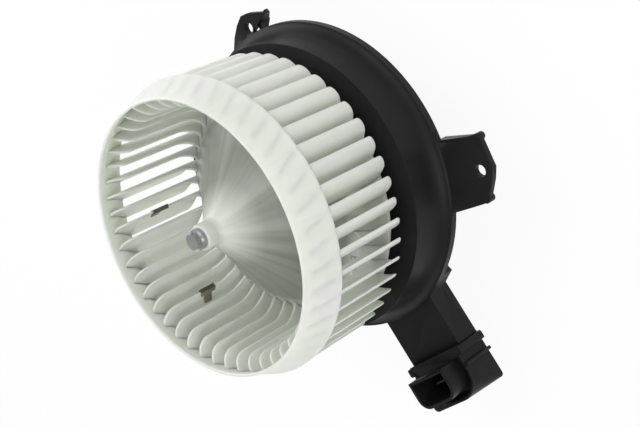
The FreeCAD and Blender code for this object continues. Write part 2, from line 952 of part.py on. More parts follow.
def motor_can():
    inner = can_radius - can_wall
    crown = can_front_z - can_wall
    outer_mid = can_corner * (1 - math.sqrt(0.5))
    inner_corner = can_corner - can_wall
    inner_mid = inner_corner * (1 - math.sqrt(0.5))
    nose_top = can_front_z + nose_length
    seat = nose_top - nose_wall
    can = turned(
        (can_radius, can_open_z + flange_thickness),
        (can_radius, can_front_z - can_corner),
        (
            (can_radius - outer_mid, can_front_z - outer_mid),
            (can_radius - can_corner, can_front_z),
        ),
        (nose_radius, can_front_z),
        (nose_radius, nose_top),
        (nose_opening_radius, nose_top),
        (nose_opening_radius, seat),
        (bearing_radius, seat),
        (bearing_radius, crown),
        (inner - inner_corner, crown),
        ((inner - inner_mid, crown - inner_mid), (inner, crown - inner_corner)),
        (inner, can_open_z),
        (flange_radius, can_open_z),
        (flange_radius, can_open_z + flange_thickness),
        flats=small_round_flats,
    )
    cuts = [
        rod(motor_screw_radius, can_open_z, can_open_z + flange_thickness, *place) for place in screw_places()
    ]
    for n in range(can_vent_count):
        place = polar(can_vent_distance, n * 360.0 / can_vent_count)
        cuts.append(rod(can_vent_radius, crown, can_front_z, *place))
    return can.cut(Part.makeCompound(cuts))


def end_bell():
    wall_outer = can_radius
    wall_inner = can_radius - bell_wall
    floor_rear = bell_floor_z - bell_wall
    nose_end = floor_rear - bell_nose_length
    bell = turned(
        (wall_inner, card_rear_z),
        (flange_radius, card_rear_z),
        (flange_radius, bell_flange_rear_z),
        (wall_outer, bell_flange_rear_z),
        (wall_outer, floor_rear),
        (nose_radius, floor_rear),
        (nose_radius, nose_end),
        (0.0, nose_end),
        (0.0, nose_end + nose_wall),
        (bearing_radius, nose_end + nose_wall),
        (bearing_radius, bell_floor_z),
        (wall_inner, bell_floor_z),
    )
    notch = block(
        wall_inner - 2,
        flange_radius + 1,
        -terminal_pitch / 2 - terminal_width,
        terminal_pitch / 2 + terminal_width,
        bell_flange_rear_z,
        card_rear_z,
    )
    cuts = [notch]
    cuts += [rod(motor_screw_radius, bell_flange_rear_z, card_rear_z, *place) for place in screw_places()]
    return bell.cut(Part.makeCompound(cuts))


def motor_screws():
    screws = []
    for x, y in screw_places():
        head = rod(
            motor_screw_head_radius, bell_flange_rear_z - motor_screw_head, bell_flange_rear_z, x, y
        )
        shank = rod(
            motor_screw_radius,
            bell_flange_rear_z - motor_screw_head / 2,
            can_open_z + flange_thickness,
            x,
            y,
        )
        screws.append(joined([head, shank]))
    return Part.makeCompound(screws)


def front_isolator():
    """A rubber grommet ring between the motor can and the platform opening."""
    foot = platform_rear_z - isolator_flange
    return turned(
        (can_radius, foot),
        (cup_inner_radius - 1.0, foot),
        (cup_inner_radius - 1.0, platform_rear_z),
        (platform_opening_radius, platform_rear_z),
        (platform_opening_radius, platform_z),
        (platform_opening_radius + isolator_flange, platform_z),
        (platform_opening_radius + isolator_flange, platform_z + isolator_lip),
        (can_radius, platform_z + isolator_lip),
    )


def rear_isolator():
    """A rubber ring between the end bell's flange and the rear cover's tube."""
    ring = tube(cup_inner_radius, can_radius + 0.2, isolator_rear_z, bell_flange_rear_z)
    pockets = [
        rod(
            motor_screw_head_radius + 0.2,
            bell_flange_rear_z - motor_screw_head - 0.4,
            bell_flange_rear_z,
            *place,
        )
        for place in screw_places()
    ]
    return ring.cut(Part.makeCompound(pockets))


def magnet(facing):
    """One curved ferrite magnet against the inside of the can."""
    outer = can_radius - can_wall
    inner = outer - magnet_thickness
    half = magnet_arc / 2
    return slab(
        magnet_rear_z,
        magnet_rear_z + magnet_length,
        polar(inner, facing - half),
        (polar(inner, facing), polar(inner, facing + half)),
        polar(outer, facing + half),
        (polar(outer, facing), polar(outer, facing - half)),
    )


def magnet_springs():
    """Two folded spring clips that wedge the magnets apart."""
    springs = []
    outer = can_radius - can_wall
    inner = outer - magnet_thickness
    half = 90.0 - magnet_arc / 2
    gauge = math.degrees(0.8 / outer)
    for facing in (90.0, 270.0):
        low, high = facing - half, facing + half
        springs.append(
            slab(
                magnet_rear_z + 4.0,
                magnet_rear_z + magnet_length - 4.0,
                polar(outer, low),
                (polar(outer, facing), polar(outer, high)),
                polar(inner, high),
                polar(inner, high - gauge),
                polar(outer - 0.8, high - gauge),
                (polar(outer - 0.8, facing), polar(outer - 0.8, low + gauge)),
                polar(inner, low + gauge),
                polar(inner, low),
            )
        )
    return Part.makeCompound(springs)


def slot_prism(low_z, high_z):
    """One winding slot between two armature teeth, centred on +X."""
    half_pitch = math.pi / slot_count
    edge = tooth_width / 2 / math.cos(half_pitch)
    floor = slot_floor_radius * math.tan(half_pitch) - edge
    roof = slot_roof_radius * math.tan(half_pitch) - edge
    return slab(
        low_z,
        high_z,
        (slot_floor_radius, -floor),
        (slot_roof_radius, -roof),
        (slot_roof_radius, roof),
        (slot_floor_radius, floor),
    )


def slotted_disc(radius, low_z, high_z):
    """A lamination shape: a disc with winding slots that open at its rim."""
    mouth = block(slot_roof_radius - 1, radius + 1, -slot_opening / 2, slot_opening / 2, low_z, high_z)
    slot = slot_prism(low_z, high_z).fuse(mouth)
    slots = [spun(slot, n * 360.0 / slot_count) for n in range(slot_count)]
    return tube(radius, shaft_radius, low_z, high_z).cut(Part.makeCompound(slots))


def armature_winding():
    """Copper coils: one bundle in each slot and a rounded head at each end of the core."""
    front = core_front_z + slot_insulator
    rear = core_rear_z - slot_insulator
    pieces = []
    for start, way in ((front, 1), (rear, -1)):
        r = coil_head_height * 0.45
        bite = r * (1 - math.sqrt(0.5))
        top = start + way * coil_head_height
        pieces.append(
            turned(
                (coil_head_inner, start),
                (coil_head_radius, start),
                (coil_head_radius, top - way * r),
                ((coil_head_radius - bite, top - way * bite), (coil_head_radius - r, top)),
                (coil_head_inner, top),
                flats=small_round_flats,
            )
        )
    bundle = slot_prism(rear, front)
    pieces += [spun(bundle, n * 360.0 / slot_count) for n in range(slot_count)]
    return joined(pieces)


def commutator_core():
    front = core_rear_z - slot_insulator - coil_head_height
    return tube(commutator_core_radius, shaft_radius, commutator_rear_z - 0.6, front)


def commutator_bars():
    outer = tube(commutator_radius, commutator_core_radius, commutator_rear_z, commutator_front_z)
    hooks = tube(
        commutator_radius + commutator_hook,
        commutator_core_radius,
        commutator_front_z - commutator_hook,
        commutator_front_z,
    )
    ring = joined([outer, hooks])
    reach = commutator_radius + commutator_hook + 1
    slit = block(
        0.0, reach, -commutator_slot / 2, commutator_slot / 2, commutator_rear_z, commutator_front_z
    )
    slits = [spun(slit, (n + 0.5) * 360.0 / slot_count) for n in range(slot_count)]
    return ring.cut(Part.makeCompound(slits))


def bearing(low_z):
    """A sintered bush with a barrel-shaped outside that lines itself up in its pocket."""
    high_z = low_z + bearing_length
    end = bearing_radius - bearing_flat
    bore = shaft_radius + bearing_clearance
    return turned(
        (bore, low_z),
        (end, low_z),
        ((bearing_radius, (low_z + high_z) / 2), (end, high_z)),
        (bore, high_z),
        flats=small_round_flats,
    )


def bearing_retainer(seat_z, way):
    """A dished spring washer that holds a bearing in its pocket."""
    gauge = bearing_flat * 0.6
    step, outer = nose_radius - 1.1, nose_radius + 3.7
    lip = felt_inner_radius + 0.2
    a, b, c = seat_z, seat_z - way * gauge, seat_z - way * 2 * gauge
    return turned(
        (lip, c), (step, c), (step, b), (outer, b), (outer, a), (bearing_radius + 0.1, a), (bearing_radius + 0.1, b), (lip, b)
    )


def brush_card():
    card = tube(flange_radius, card_opening_radius, card_rear_z, card_front_z)
    holes = [rod(motor_screw_radius, card_rear_z, card_front_z, *place) for place in screw_places()]
    return card.cut(Part.makeCompound(holes))


def brush_holder(side):
    """A brass box that guides one brush, closed at its outer end."""
    half = brush_width / 2 + brush_side_clearance
    low = brush_z - brush_height / 2 - brush_side_clearance
    high = brush_z + brush_height / 2 + brush_side_clearance
    g = holder_gauge
    shell = block(-half - g, half + g, holder_near, holder_end, low - g, high + g)
    inside = block(-half, half, holder_near, holder_end - g, low, high)
    return spun(shell.cut(inside), 0.0 if side > 0 else 180.0)


def brush(side):
    half, rise = brush_width / 2, brush_height / 2
    body = block(-half, half, brush_face - 1.5, brush_back, brush_z - rise, brush_z + rise)
    return spun(body.cut(rod(brush_face, brush_z - rise, brush_z + rise)), 0.0 if side > 0 else 180.0)


def brush_spring(side):
    """A compression spring between a brush and the closed end of its holder."""
    length = holder_end - holder_gauge - brush_back - spring_wire
    helix = Part.makeHelix(length / spring_turns, length, spring_radius)
    half = spring_wire / 2
    section = closed_wire(
        lambda p: V(spring_radius + p[0], 0, p[1]), (-half, -half), [(half, -half), (half, half), (-half, half)]
    )
    coil = Part.Wire(helix).makePipeShell([section], True, True)
    coil.rotate(CENTRE, V(1, 0, 0), -90)
    coil.translate(V(0, brush_back + half, brush_z))
    return spun(coil, 0.0 if side > 0 else 180.0)


def choke(side):
    """A suppression coil wound on a ferrite rod, lying under the brush card."""
    z = card_rear_z - choke_radius
    y = side * choke_y
    coil = Part.makeCylinder(choke_radius, choke_length, V(choke_x, y - choke_length / 2, z), V(0, 1, 0))
    stub = choke_length / 2 + choke_core_stub
    core = Part.makeCylinder(choke_core_radius, 2 * stub, V(choke_x, y - stub, z), V(0, 1, 0))
    return joined([coil, core])


def suppressor_capacitor():
    x, y, z = capacitor_size
    body = block(capacitor_x - x / 2, capacitor_x + x / 2, -y / 2, y / 2, card_rear_z - z, card_rear_z)
    return body.makeFillet(1.2, [e for e in body.Edges if abs(e.tangentAt(e.FirstParameter).z) > 0.9])


def build():
    os.makedirs("parts", exist_ok=True)
    save("flange_housing", flange_housing())
    save("arm_cover", arm_cover())
    save("rear_cover", rear_cover())
    save("rear_cover_screws", rear_cover_screws())
    save("connector_housing", connector_housing())
    for name, y in zip(("right", "left"), terminal_places()):
        save(f"terminal_strip_{name}", terminal_strip(y))

    save("motor_can", motor_can())
    save("end_bell", end_bell())
    save("motor_screws", motor_screws())
    save("front_isolator", front_isolator())
    save("rear_isolator", rear_isolator())
    save("magnet_front_side", magnet(0.0))
    save("magnet_back_side", magnet(180.0))
    save("magnet_springs", magnet_springs())

    crown = can_front_z - can_wall
    front_bush_z = can_front_z + nose_length - nose_wall - bearing_length
    rear_bush_z = bell_floor_z - bell_wall - bell_nose_length + nose_wall
    save("front_bearing", bearing(front_bush_z))
    save("rear_bearing", bearing(rear_bush_z))
    save("front_bearing_retainer", bearing_retainer(crown, 1))
    save("rear_bearing_retainer", bearing_retainer(bell_floor_z, -1))
    gauge = bearing_flat * 0.6
    felt_outer = bearing_radius - 0.2
    save("front_oil_felt", tube(felt_outer, felt_inner_radius, crown - gauge, front_bush_z))
    save(
        "rear_oil_felt",
        tube(felt_outer, felt_inner_radius, rear_bush_z + bearing_length, bell_floor_z + gauge),
    )

    save("brush_card", brush_card())
    for name, side in (("left", 1), ("right", -1)):
        save(f"brush_holder_{name}", brush_holder(side))
        save(f"brush_{name}", brush(side))
        save(f"brush_spring_{name}", brush_spring(side))
        save(f"choke_{name}", choke(side))
    save("suppressor_capacitor", suppressor_capacitor())

    save("blower_wheel", blower_wheel())
    for n, (number, z) in enumerate(zip(clip_blades, clip_z), 1):
        save(f"balance_clip_{n}", balance_clip(number, z))
    save("motor_shaft", motor_shaft())
    ring_top = boss_top_z + retaining_ring_thickness
    save("wheel_retaining_ring", tube(retaining_ring_radius, shaft_radius, boss_top_z, ring_top))
    save("armature_core", slotted_disc(armature_radius, core_rear_z, core_front_z))
    front, rear = core_front_z + slot_insulator, core_rear_z - slot_insulator
    save("front_slot_insulator", slotted_disc(coil_head_radius + 1.5, core_front_z, front))
    save("rear_slot_insulator", slotted_disc(coil_head_radius + 1.5, rear, core_rear_z))
    save("armature_winding", armature_winding())
    save("commutator_core", commutator_core())
    save("commutator_bars", commutator_bars())
    washer_top = crown - 2 * gauge - thrust_gap
    save("front_thrust_washer", tube(washer_radius, shaft_radius, washer_top - washer_thickness, washer_top))
    washer_top = commutator_rear_z - 0.6
    save("rear_thrust_washer", tube(washer_radius, shaft_radius, washer_top - washer_thickness, washer_top))


build()
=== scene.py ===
"""Dresses the car cabin blower motor: wheel, mouldings, metal parts, floor, light and camera."""

import json
import math

import bmesh
import bpy
from bpy.props import FloatProperty, FloatVectorProperty, IntProperty, PointerProperty
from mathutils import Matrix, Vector


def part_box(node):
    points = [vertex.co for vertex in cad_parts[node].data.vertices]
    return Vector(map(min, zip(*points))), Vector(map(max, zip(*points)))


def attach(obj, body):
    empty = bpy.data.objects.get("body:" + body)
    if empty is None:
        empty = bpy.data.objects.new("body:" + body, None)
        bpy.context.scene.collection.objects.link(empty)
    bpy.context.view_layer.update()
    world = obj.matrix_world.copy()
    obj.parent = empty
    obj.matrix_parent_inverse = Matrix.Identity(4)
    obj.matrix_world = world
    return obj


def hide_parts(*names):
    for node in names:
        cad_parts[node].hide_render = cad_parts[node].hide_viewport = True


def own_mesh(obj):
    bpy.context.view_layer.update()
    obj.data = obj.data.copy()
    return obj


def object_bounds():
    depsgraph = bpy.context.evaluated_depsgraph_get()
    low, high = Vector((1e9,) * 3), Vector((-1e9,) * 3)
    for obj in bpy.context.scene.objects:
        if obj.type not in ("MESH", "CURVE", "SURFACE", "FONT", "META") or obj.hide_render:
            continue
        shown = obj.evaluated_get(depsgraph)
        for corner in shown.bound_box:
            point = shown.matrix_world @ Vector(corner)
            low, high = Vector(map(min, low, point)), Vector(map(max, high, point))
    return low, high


bl_info = {
    "name": "Cabin Blower Motor",
    "version": (1, 0, 0),
    "blender": (4, 5, 0),
    "location": "3D View > Sidebar > Blower",
    "description": "Builds the wheel, finishes and stage of a car cabin blower motor",
    "category": "Object",
}

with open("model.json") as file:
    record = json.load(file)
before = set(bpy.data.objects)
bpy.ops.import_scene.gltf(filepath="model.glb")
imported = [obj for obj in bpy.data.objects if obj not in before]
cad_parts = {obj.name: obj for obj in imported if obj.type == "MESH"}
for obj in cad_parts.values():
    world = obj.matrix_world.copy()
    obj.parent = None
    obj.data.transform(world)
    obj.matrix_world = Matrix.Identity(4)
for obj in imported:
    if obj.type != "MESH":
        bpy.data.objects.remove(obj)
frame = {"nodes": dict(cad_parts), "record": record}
cad_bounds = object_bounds()

MM = 0.001
TAU = 2 * math.pi
# Radii where the painted shade on the wheel's cone fades out, near the rim and near the boss.
HUB_SHADE_RIM_FADE = (50.0 * MM, 54.0 * MM)
HUB_SHADE_BOSS_FADE = (6.5 * MM, 22.0 * MM)
SMOOTH_ANGLE = 28.0
COIL_ANGLE = 50.0
RING_OVERLAP = 0.8 * MM
ROOT_DEPTH = 0.7
WORLD_LIGHT = 0.50
FLOOR_GLOW = 0.92
LAMPS = (
    ("key", (-0.65, 0.5, 1.0), 5.5, 0.7),
    ("side", (0.6, 0.7, 0.75), 4.6, 0.6),
    ("left", (-0.95, -0.5, 0.4), 6.0, 0.7),
    ("low", (0.9, -0.6, 0.4), 2.2, 0.7),
)
SMOOTH_PARTS = {
    "housing": ("flange_housing", "connector_housing", "rear_cover", "motor_can", "front_isolator"),
    "rotor": ("motor_shaft", "wheel_retaining_ring", "balance_clip_1", "balance_clip_2"),
}


def colour(name, description, value):
    """A linear colour that the user can change."""
    return FloatVectorProperty(
        name=name, description=description, default=value, subtype="COLOR", size=3, min=0.0, max=1.0
    )


def length(name, description, value):
    """A length that the user can change, given in millimetres and kept in metres."""
    return FloatProperty(name=name, description=description, default=value * MM, unit="LENGTH", precision=5)


def degrees(name, description, value):
    """An angle that the user can change, given in degrees."""
    return FloatProperty(name=name, description=description, default=math.radians(value), subtype="ANGLE")


class WheelSettings(bpy.types.PropertyGroup):
    """Sizes of the blower wheel."""

    blades: IntProperty(name="Blades", description="Number of blades", default=47, min=3)
    first_blade: degrees("First blade", "Angle of the first blade's tip", 148.9)
    tip_radius: length("Tip radius", "Radius at the blades' tips", 75.0)
    inner_radius: length("Inner radius", "Radius of the blades' inner edges", 61.5)
    root_lean: degrees("Root lean", "Blade's lean from the radius at its inner edge", 14.0)
    tip_lean: degrees("Tip lean", "Blade's lean from the radius at its tip", 58.0)
    thickness: length("Blade thickness", "Thickness of a blade", 1.2)
    rear: length("Rear edge", "Height of the blades' rear edges", 27.8)
    corner: length("Rear corner", "Radius of a blade's rear corner", 4.5)
    flare: length("Flare", "Radius where a blade opens out into the ring", 8.3)
    flare_start: length("Flare start", "Height where a blade starts to open out", 78.0)
    foot: length("Foot", "Radius where a blade runs out over the cone", 10.0)
    ring_radius: length("Ring radius", "Outer radius of the inlet ring", 75.45)
    ring_wall: length("Ring wall", "Thickness of the inlet ring", 1.6)
    ring_rear: length("Ring rear edge", "Height of the inlet ring's rear edge", 72.5)
    shoulder: length("Ring shoulder", "Height where the ring starts to draw in", 75.0)
    ring_inset: length("Ring inset", "How far the lip stands inside the ring's straight side", 6.2)
    ring_hollow: length("Ring hollow", "How far the flare bows inwards", 0.6)
    lip: length("Lip", "Height of the inlet lip", 91.0)
    hub_radius: length("Hub radius", "Outer radius of the hub's cone", 65.8)
    hub_front: length("Hub front", "Height of the cone's outer edge", 28.2)
    hub_edge: length("Hub edge", "Thickness of the cone at its outer edge", 2.2)
    hub_wall: length("Hub wall", "Thickness of the cone", 1.8)
    hub_hollow: length("Hub hollow", "How far the cone bows inwards", 1.2)
    apex: length("Apex", "Height where the cone would meet the boss", 79.0)
    boss_radius: length("Boss radius", "Outer radius of the boss", 6.3)
    boss_top: length("Boss top", "Height of the boss", 86.6)
    boss_foot: length("Boss foot", "Lowest height of the boss", 66.0)
    boss_blend: length("Boss blend", "Radius between the boss and the cone", 4.5)
    bore: length("Bore", "Radius of the hole for the shaft", 4.0)


class ScrewSettings(bpy.types.PropertyGroup):
    """Sizes of the screws that hold the rear cover."""

    count: IntProperty(name="Screws", description="Number of screws round the motor", default=3, min=1)
    first: degrees("First screw", "Angle of the first screw", 75.0)
    head_radius: length("Head radius", "Radius of a screw's head", 3.5)
    head_height: length("Head height", "Height of a screw's head", 2.2)
    shank_radius: length("Shank radius", "Radius of a screw's shank", 2.0)
    drive_radius: length("Drive radius", "Mean radius of the six-lobed drive", 1.5)
    drive_depth: length("Drive depth", "Depth of the six-lobed drive", 1.3)


class FinishSettings(bpy.types.PropertyGroup):
    """Colours of the finishes."""

    milky: colour("Milky plastic", "Natural plastic of the wheel", (0.94, 0.97, 0.89))
    milky_deep: colour("Milky plastic, deep", "Wheel plastic where it is thick or shaded", (0.84, 0.89, 0.79))
    # The hub colour is painted shade: a darker wheel colour on the cone that stands in for the dark motor
    # seen through the thin plastic.
    milky_painted_hub_shade: colour(
        "Milky plastic, hub", "Wheel plastic of the cone, dark from the motor behind it", (0.35, 0.375, 0.335)
    )
    black: colour("Black moulding", "Housing plastic", (0.0115, 0.0115, 0.0118))
    black_worn: colour(
        "Black moulding, rubbed", "Housing plastic where it is rubbed", (0.0175, 0.0175, 0.0178)
    )
    steel: colour("Steel", "Bare and plated steel", (0.58, 0.59, 0.60))
    bronze: colour("Clip", "Spring steel of the balance clips", (0.30, 0.275, 0.215))
    copper: colour("Copper", "Windings and commutator", (0.72, 0.36, 0.18))


class StageSettings(bpy.types.PropertyGroup):
    """Floor, light and camera."""

    floor: colour("Floor", "Colour of the floor", (0.90, 0.90, 0.90))
    floor_size: length("Floor size", "Width of the floor", 6000.0)
    camera_place: FloatVectorProperty(
        name="Camera",
        description="Where the camera stands",
        default=(0.060819, 0.431523, 0.404588),
        unit="LENGTH",
    )
    camera_turn: FloatVectorProperty(
        name="Camera turn",
        description="The camera's rotation, in degrees about X, Y and Z",
        default=(-27.179637, 41.222502, 46.074280),
    )
    lens: FloatProperty(name="Lens", description="Focal length", default=64.52, unit="CAMERA")


class Value:
    """A shader value. Arithmetic on it adds Math nodes to its material."""

    def __init__(self, shader, socket):
        self.shader = shader
        self.socket = socket

    def maths(self, operation, *others):
        return self.shader.node("ShaderNodeMath", {"operation": operation}, dict(enumerate((self,) + others)))

    def __add__(self, other):
        return self.maths("ADD", other)

    def __mul__(self, other):
        return self.maths("MULTIPLY", other)


class Shader:
    """A material under construction."""

    def __init__(self, name):
        self.material = bpy.data.materials.new(name)
        self.material.use_nodes = True
        self.tree = self.material.node_tree
        self.tree.nodes.clear()

    def node(self, kind, settings=None, inputs=None, output=0):
        """Adds a node, sets it, feeds its sockets with values or links, and returns one output."""
        node = self.tree.nodes.new(kind)
        for key, setting in (settings or {}).items():
            if key == "stops":
                self.stops(node.color_ramp, setting)
            else:
                setattr(node, key, setting)
        for key, given in (inputs or {}).items():
            if isinstance(given, Value):
                self.tree.links.new(given.socket, node.inputs[key])
            else:
                node.inputs[key].default_value = given
        return Value(self, node.outputs[output]) if node.outputs else None

    def stops(self, ramp, stops):
        while len(ramp.elements) < len(stops):
            ramp.elements.new(1.0)
        for element, (place, shade) in zip(ramp.elements, stops):
            element.position = place
            element.color = (*shade, 1.0)

    def place(self):
        """The point on the piece, in metres in the object's own frame."""
        return self.node("ShaderNodeTexCoord", output="Object")

    def noise(self, vector, scale, detail=3.0, roughness=0.5):
        inputs = {"Vector": vector, "Scale": scale, "Detail": detail, "Roughness": roughness}
        return self.node("ShaderNodeTexNoise", None, inputs)

    def spread(self, value, low, high, to_low=0.0, to_high=1.0):
        """Maps a span of a value onto another, held at its ends."""
        inputs = {"Value": value, 1: low, 2: high, 3: to_low, 4: to_high}
        return self.node("ShaderNodeMapRange", {"clamp": True}, inputs)

    def mix(self, factor, first, second):
        """Mixes two colours."""
        first = first if isinstance(first, Value) else (*first, 1.0)
        second = second if isinstance(second, Value) else (*second, 1.0)
        return self.node(
            "ShaderNodeMix", {"data_type": "RGBA"}, {0: factor, 6: first, 7: second}, output=2
        )

    def bump(self, height, distance, strength=1.0, normal=None):
        inputs = {"Height": height, "Distance": distance, "Strength": strength}
        if normal:
            inputs["Normal"] = normal
        return self.node("ShaderNodeBump", None, inputs)

    def softened(self, radius):
        """A normal that rounds sharp edges a little, as a mould does."""
        return self.node("ShaderNodeBevel", {"samples": 4}, {"Radius": radius})

    def finish(self, **inputs):
        """Ends the material in a Principled surface with these inputs."""
        named = {key.replace("_", " "): given for key, given in inputs.items()}
        surface = self.node("ShaderNodeBsdfPrincipled", None, named)
        self.node("ShaderNodeOutputMaterial", None, {"Surface": surface})
        return self.material


def milky_plastic(name, tints):
    """Natural moulded plastic that lets light through, with flow lines that spread out from the axis, and
    painted shade on the cone that stands in for the dark motor behind it.
    """
    shader = Shader(name)
    place = shader.place()
    flat = shader.node("ShaderNodeVectorMath", {"operation": "MULTIPLY"}, {0: place, 1: (1.0, 1.0, 0.0)})
    ray = shader.node("ShaderNodeVectorMath", {"operation": "NORMALIZE"}, {0: flat})
    streak = shader.spread(shader.noise(ray, 9.0, 6.0, 0.65), 0.36, 0.66)
    cloud = shader.noise(place, 30.0, 3.0, 0.55)
    shade = streak * 0.6 + shader.spread(cloud, 0.35, 0.65) * 0.4
    fine = shader.noise(place, 900.0, 2.0)
    reach = shader.node("ShaderNodeVectorMath", {"operation": "LENGTH"}, {0: flat}, output=1)
    # Painted shade: a mask that is 1 on the cone, between the boss and the blades' feet, where the dark motor
    # behind would show through, broken by radial streaks.
    painted_hub_shade = shader.spread(reach, *HUB_SHADE_RIM_FADE, 1.0, 0.0) * shader.spread(reach, *HUB_SHADE_BOSS_FADE)
    hub_shade_streaks = shader.spread(shader.noise(ray, 4.5, 2.5, 0.5), 0.36, 0.64, 0.76, 1.0)
    tint = shader.mix(shade, tints[0], tints[1])
    return shader.finish(
        # The base colour takes the painted hub shade over the cone.
        Base_Color=shader.mix(painted_hub_shade * hub_shade_streaks, tint, tints[2]),
        Roughness=shader.spread(cloud, 0.3, 0.7, 0.28, 0.40),
        Subsurface_Weight=1.0,
        Subsurface_Radius=(0.98, 1.0, 0.95),
        Subsurface_Scale=0.0021,
        Transmission_Weight=0.26,
        IOR=1.49,
        Normal=shader.bump(fine, 0.00002, 0.5),
    )


def moulded_plastic(name, tints, roughness, grain=2600.0, depth=0.00006):
    """Dark moulded plastic with a fine spark-eroded grain."""
    shader = Shader(name)
    place = shader.place()
    cloud = shader.noise(place, 22.0, 4.0, 0.6)
    speck = shader.noise(place, grain, 2.0, 0.6)
    tint = shader.mix(shader.spread(cloud, 0.45, 0.75), tints[0], tints[1])
    return shader.finish(
        Base_Color=tint,
        Roughness=shader.spread(cloud, 0.3, 0.7, roughness - 0.05, roughness + 0.07),
        Specular_IOR_Level=0.12,
        Normal=shader.bump(speck, depth, 0.6, shader.softened(0.0004)),
    )


def metal(name, tint, roughness, brushed=0.0, scale=400.0):
    """Metal with slight stains, and fine lines round the motor axis where it is turned or brushed."""
    shader = Shader(name)
    place = shader.place()
    stretch = (1.0, 1.0, 1.0 + brushed)
    lines = shader.node("ShaderNodeVectorMath", {"operation": "MULTIPLY"}, {0: place, 1: stretch})
    line = shader.noise(lines, scale, 4.0, 0.65)
    stain = shader.noise(place, 60.0, 3.0)
    darker = tuple(0.72 * part for part in tint)
    return shader.finish(
        Base_Color=shader.mix(shader.spread(stain, 0.4, 0.7), tint, darker),
        Metallic=1.0,
        Roughness=shader.spread(line, 0.3, 0.7, roughness - 0.04, roughness + 0.08),
        Normal=shader.bump(line, 0.00001, 0.4),
    )


def dull(name, tint, roughness=0.75, scale=700.0, depth=0.00005, weave=0.0):
    """Card, ceramic, rubber, carbon and felt: a matt solid with a broken surface."""
    shader = Shader(name)
    place = shader.place()
    speck = shader.noise(place, scale, 5.0, 0.6 + weave)
    lighter = tuple(min(1.0, 1.35 * part + 0.01) for part in tint)
    return shader.finish(
        Base_Color=shader.mix(shader.spread(speck, 0.35, 0.7), tint, lighter),
        Roughness=shader.spread(speck, 0.3, 0.7, roughness - 0.08, roughness + 0.08),
        Normal=shader.bump(speck, depth, 0.7),
    )


def finishes(settings):
    """Every material, by the name of the record's slot."""
    black = (tuple(settings.black), tuple(settings.black_worn))
    steel, copper = tuple(settings.steel), tuple(settings.copper)
    # The third colour is the painted shade of the hub.
    milky = (tuple(settings.milky), tuple(settings.milky_deep), tuple(settings.milky_painted_hub_shade))
    return {
        "milky_plastic": milky_plastic("milky_plastic", milky),
        "black_moulding": moulded_plastic("black_moulding", black, 0.42),
        "black_connector": moulded_plastic("black_connector", black, 0.36, 3200.0, 0.00004),
        "polished_steel": metal("polished_steel", steel, 0.10, 30.0),
        "dull_steel": metal("dull_steel", tuple(0.9 * part for part in steel), 0.42),
        "bronzed_steel": metal("bronzed_steel", tuple(settings.bronze), 0.5),
        "zinc_steel": metal("zinc_steel", steel, 0.30),
        "spring_steel": metal("spring_steel", tuple(1.25 * part for part in steel), 0.42),
        "lamination_steel": metal("lamination_steel", tuple(0.45 * part for part in steel), 0.45, 25.0),
        "tinned_brass": metal("tinned_brass", (0.66, 0.62, 0.50), 0.28),
        "sintered_bronze": metal("sintered_bronze", (0.42, 0.31, 0.18), 0.55),
        "copper": metal("copper", copper, 0.30, 12.0),
        "ferrite": dull("ferrite", (0.06, 0.06, 0.062), 0.7),
        "carbon": dull("carbon", (0.035, 0.034, 0.034), 0.6),
        "card": dull("card", (0.30, 0.17, 0.08), 0.55),
        "washer_plastic": dull("washer_plastic", (0.72, 0.69, 0.60), 0.45, 300.0, 0.00001),
        "felt": dull("felt", (0.36, 0.33, 0.27), 0.95, 1800.0, 0.0002, 0.2),
        "rubber": dull("rubber", (0.018, 0.018, 0.018), 0.68, 500.0, 0.00003),
    }


def new_piece(name, points, faces):
    """A mesh object in the scene."""
    mesh = bpy.data.meshes.new(name)
    mesh.from_pydata(points, [], faces)
    mesh.validate()
    piece = bpy.data.objects.new(name, mesh)
    bpy.context.scene.collection.objects.link(piece)
    return piece


def settle(piece, body, replaced):
    """Turns a piece's modifiers into a plain mesh, ties it to the frame and lets it stand for its nodes."""
    bpy.context.view_layer.update()
    evaluated = piece.evaluated_get(bpy.context.evaluated_depsgraph_get())
    mesh = bpy.data.meshes.new_from_object(evaluated)
    mesh.name = piece.name
    piece.modifiers.clear()
    piece.data = mesh
    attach(piece, body)
    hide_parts(*replaced)
    return piece


def arc(centre, radius, start, end, steps):
    """Points on an arc between two angles, in degrees, both ends included."""
    points = []
    for n in range(steps + 1):
        angle = math.radians(start + (end - start) * n / steps)
        points.append((centre[0] + radius * math.cos(angle), centre[1] + radius * math.sin(angle)))
    return points


def turned_mesh(profile, segments):
    """Points and faces of a closed outline of (radius, height) turned round the motor axis."""
    points, faces = [], []
    count = len(profile)
    for n in range(segments):
        angle = TAU * n / segments
        points += [(r * math.cos(angle), r * math.sin(angle), z) for r, z in profile]
    for n in range(segments):
        here, there = n * count, (n + 1) % segments * count
        for k in range(count):
            after = (k + 1) % count
            faces.append((here + k, there + k, there + after, here + after))
    return points, faces


